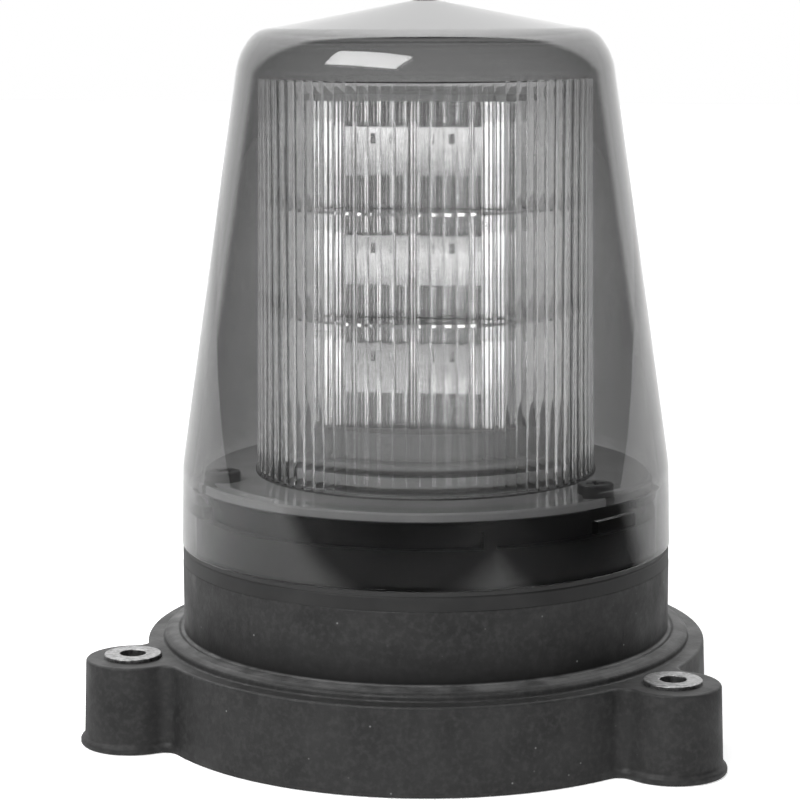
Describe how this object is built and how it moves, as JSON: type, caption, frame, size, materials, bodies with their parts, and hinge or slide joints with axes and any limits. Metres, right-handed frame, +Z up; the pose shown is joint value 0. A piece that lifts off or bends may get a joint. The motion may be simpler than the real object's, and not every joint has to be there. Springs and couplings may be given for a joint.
{
  "type": "signal light",
  "caption": "Beacon signal light: smoke-grey tapered dome over a fluted lens and lamp tower, on a black rubber foot with lugs for mounting screws.",
  "frame": {"origin": "centre of the mounting hole circle on the mounting face under the rubber foot", "axes": "+Z up along the dome's axis, +Y towards the rear lug, so the front is towards -Y"},
  "size_m": [0.135, 0.1368, 0.1539],
  "materials": {
    "foot_rubber": "matte moulded rubber with a little dust",
    "bush_steel": "dull zinc-plated steel",
    "housing_plastic": "black moulded plastic",
    "grommet_rubber": "soft black rubber",
    "seal_rubber": "black seal rubber",
    "circuit_board": "green solder mask",
    "screw_steel": "zinc-plated steel",
    "capacitor_can": "sleeved can",
    "ferrite": "dark ferrite",
    "terminal_plastic": "grey moulded plastic",
    "connector_plastic": "off-white moulded plastic",
    "lead_sleeve": "black sleeving",
    "carrier_metal": "plain sheet",
    "tower_plastic": "light grey moulded plastic",
    "core_metal": "extruded, mill finish",
    "lamp_board": "white solder mask",
    "lamp": "pale lamp package",
    "reflector_chrome": "vacuum-plated mirror finish",
    "ring_bright": "bright plated ring",
    "lens_clear": "clear fluted plastic",
    "dome_smoke": "smoke-grey clear plastic, polished"
  },
  "bodies": {
    "base": {"rubber_foot": "foot_rubber", "lug_bushes": "bush_steel", "base_housing": "housing_plastic", "cable_grommet": "grommet_rubber", "driver_board": "circuit_board", "board_screws": "screw_steel", "carrier_screws": "screw_steel", "terminal_screws": "screw_steel", "tie_bolt": "screw_steel", "tie_nut": "screw_steel", "capacitors": "capacitor_can", "choke": "ferrite", "terminal_block": "terminal_plastic", "driver_socket": "connector_plastic", "tower_plug": "connector_plastic", "led_leads": "lead_sleeve", "carrier_disc": "carrier_metal", "tower_foot": "tower_plastic", "tower_cap": "tower_plastic", "tower_core": "core_metal", "led_board_1": "lamp_board", "led_board_2": "lamp_board", "led_board_3": "lamp_board", "led_board_4": "lamp_board", "leds_1": "lamp", "leds_2": "lamp", "leds_3": "lamp", "leds_4": "lamp", "reflector_1": "reflector_chrome", "reflector_2": "reflector_chrome", "reflector_3": "reflector_chrome", "reflector_4": "reflector_chrome", "tier_ring_1": "ring_bright", "tier_ring_2": "ring_bright", "inner_lens": "lens_clear"},
    "seal": {"dome_seal": "seal_rubber"},
    "dome": {"dome": "dome_smoke"}
  },
  "joints": [
    {"name": "dome_lift", "type": "slide", "parent": "base", "child": "seal", "axis": [0, 0, 1], "range_m": [0, 0.105]},
    {"name": "dome_turn", "type": "hinge", "parent": "seal", "child": "dome", "pos_m": [0, 0, 0.039], "axis": [0, 0, 1], "range_deg": [-25, 0]}
  ]
}
